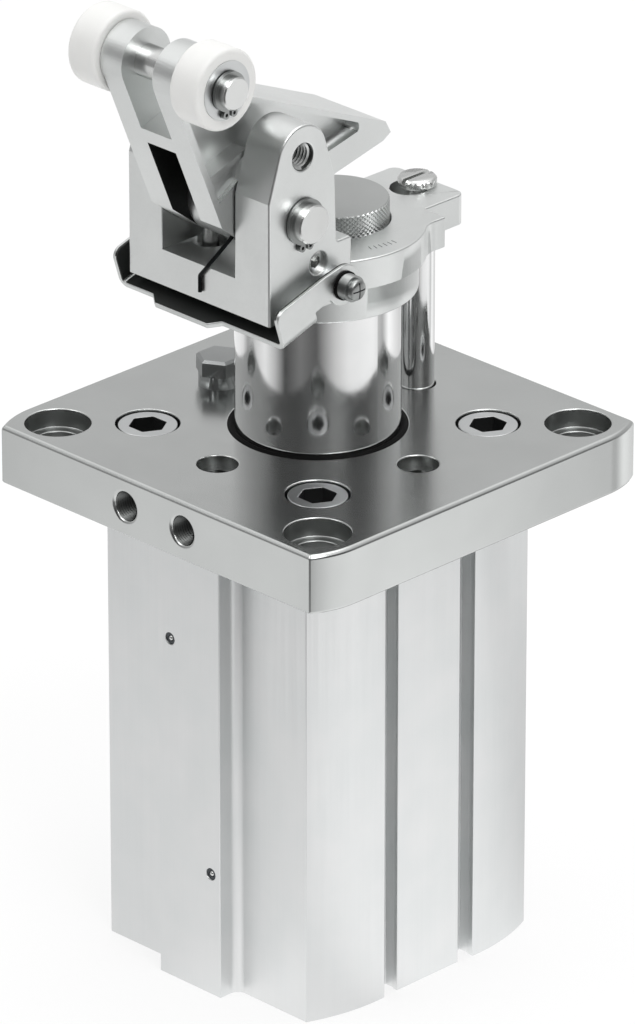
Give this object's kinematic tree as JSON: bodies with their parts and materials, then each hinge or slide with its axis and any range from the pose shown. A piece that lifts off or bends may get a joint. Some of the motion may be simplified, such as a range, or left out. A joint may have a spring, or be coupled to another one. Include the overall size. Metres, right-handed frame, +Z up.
{
  "type": "stopper cylinder",
  "caption": "Pneumatic stopper cylinder: flanged square barrel, retractable rod and guide post, and a damped roller lever that halts pallets.",
  "frame": {"origin": "centre of the barrel's underside, on the rod's axis", "axes": "+Z up along the rod; -Y is the side with the air ports, towards which the lever leans; +X completes the right-handed frame along the lever's pivot"},
  "size_m": [0.139, 0.1448, 0.3151],
  "materials": {
    "anodised_profile": "silver anodised extrusion",
    "machined_plate": "milled and anodised",
    "cast_steel": "fine cast steel, blasted and zinc plated",
    "chromed_steel": "hard chromed and polished",
    "bright_steel": "turned, nickel plated",
    "zinc_steel": "zinc plated",
    "spring_steel": "phosphated spring steel",
    "sheet_steel": "pressed sheet, zinc plated",
    "cap_steel": "turned and knurled",
    "dark_steel": "blackened",
    "black_wire": "black spring wire",
    "white_plastic": "white acetal, satin",
    "guide_plastic": "filled plastic",
    "magnet_ring": "bonded magnet",
    "black_rubber": "black rubber",
    "bearing_bronze": "bronze"
  },
  "bodies": {
    "base": {"barrel": "anodised_profile", "flange_plate": "machined_plate", "bottom_cover": "machined_plate", "bottom_cover_seal": "black_rubber", "bottom_retaining_ring": "spring_steel", "retract_buffer": "black_rubber", "flange_screws": "zinc_steel", "hex_stop_bolt": "zinc_steel", "channel_plugs": "dark_steel", "rod_guide": "machined_plate", "rod_guide_seal": "black_rubber", "rod_bearing_sleeve": "bearing_bronze", "rod_seal": "black_rubber", "extend_stop_ring": "machined_plate", "rod_wiper_seal": "black_rubber", "post_guide_bush": "bearing_bronze"},
    "rod": {"piston_rod": "chromed_steel", "piston": "machined_plate", "piston_seal": "black_rubber", "piston_magnet": "magnet_ring", "piston_guide_ring": "guide_plastic", "piston_nut": "zinc_steel", "guide_post": "chromed_steel", "guide_post_screw": "bright_steel", "lever_housing": "cast_steel", "housing_set_screws": "bright_steel", "pivot_pin": "bright_steel", "pivot_retaining_rings": "spring_steel", "absorber_housing": "zinc_steel", "absorber_spring": "spring_steel", "latch_pin_spring": "spring_steel", "torsion_spring": "black_wire", "bracket_screws": "bright_steel", "bracket_spacers": "zinc_steel"},
    "absorber_plunger_body": {"absorber_plunger": "chromed_steel"},
    "absorber_cap": {"knurled_cap": "cap_steel"},
    "latch": {"latch_pin": "bright_steel"},
    "roller_lever": {"lever": "cast_steel", "roller_axle": "bright_steel", "axle_retaining_rings": "spring_steel"},
    "roller_left_body": {"roller_left": "white_plastic", "roller_bush_left": "zinc_steel"},
    "roller_right_body": {"roller_right": "white_plastic", "roller_bush_right": "zinc_steel"},
    "bracket": {"release_bracket": "sheet_steel"}
  },
  "joints": [
    {"name": "rod_slide", "type": "slide", "parent": "base", "child": "rod", "axis": [0, 0, 1], "range_m": [-0.04, 0]},
    {"name": "lever_tilt", "type": "hinge", "parent": "rod", "child": "roller_lever", "pos_m": [0, -0.0354, 0.2543], "axis": [-1, 0, 0], "range_deg": [0, 30], "stiffness_Nm_per_rad": 0.6, "springref_deg": -22.92},
    {"name": "roller_left_spin", "type": "hinge", "parent": "roller_lever", "child": "roller_left_body", "pos_m": [0, -0.06374, 0.3026], "axis": [1, 0, 0], "continuous": true},
    {"name": "roller_right_spin", "type": "hinge", "parent": "roller_lever", "child": "roller_right_body", "pos_m": [0, -0.06374, 0.3026], "axis": [1, 0, 0], "continuous": true},
    {"name": "absorber_press", "type": "slide", "parent": "rod", "child": "absorber_plunger_body", "axis": [0, 0, -1], "range_m": [0, 0.004], "stiffness_N_per_m": 300, "springref_m": -0.004, "deforming": ["absorber_spring"]},
    {"name": "cap_turn", "type": "hinge", "parent": "absorber_plunger_body", "child": "absorber_cap", "pos_m": [0, 0.0065, 0.2364], "axis": [0, 0, 1], "range_deg": [-150, 150]},
    {"name": "latch_press", "type": "slide", "parent": "rod", "child": "latch", "axis": [0, 0, -1], "range_m": [0, 0.0015], "stiffness_N_per_m": 400, "springref_m": -0.002, "deforming": ["latch_pin_spring"]},
    {"name": "bracket_swing", "type": "hinge", "parent": "rod", "child": "bracket", "pos_m": [0, -0.02365, 0.2319], "axis": [1, 0, 0], "range_deg": [0, 12]}
  ],
  "couplings": [
    {"joint": "absorber_press", "follows": "lever_tilt", "m_per_rad": 0.00763}
  ]
}
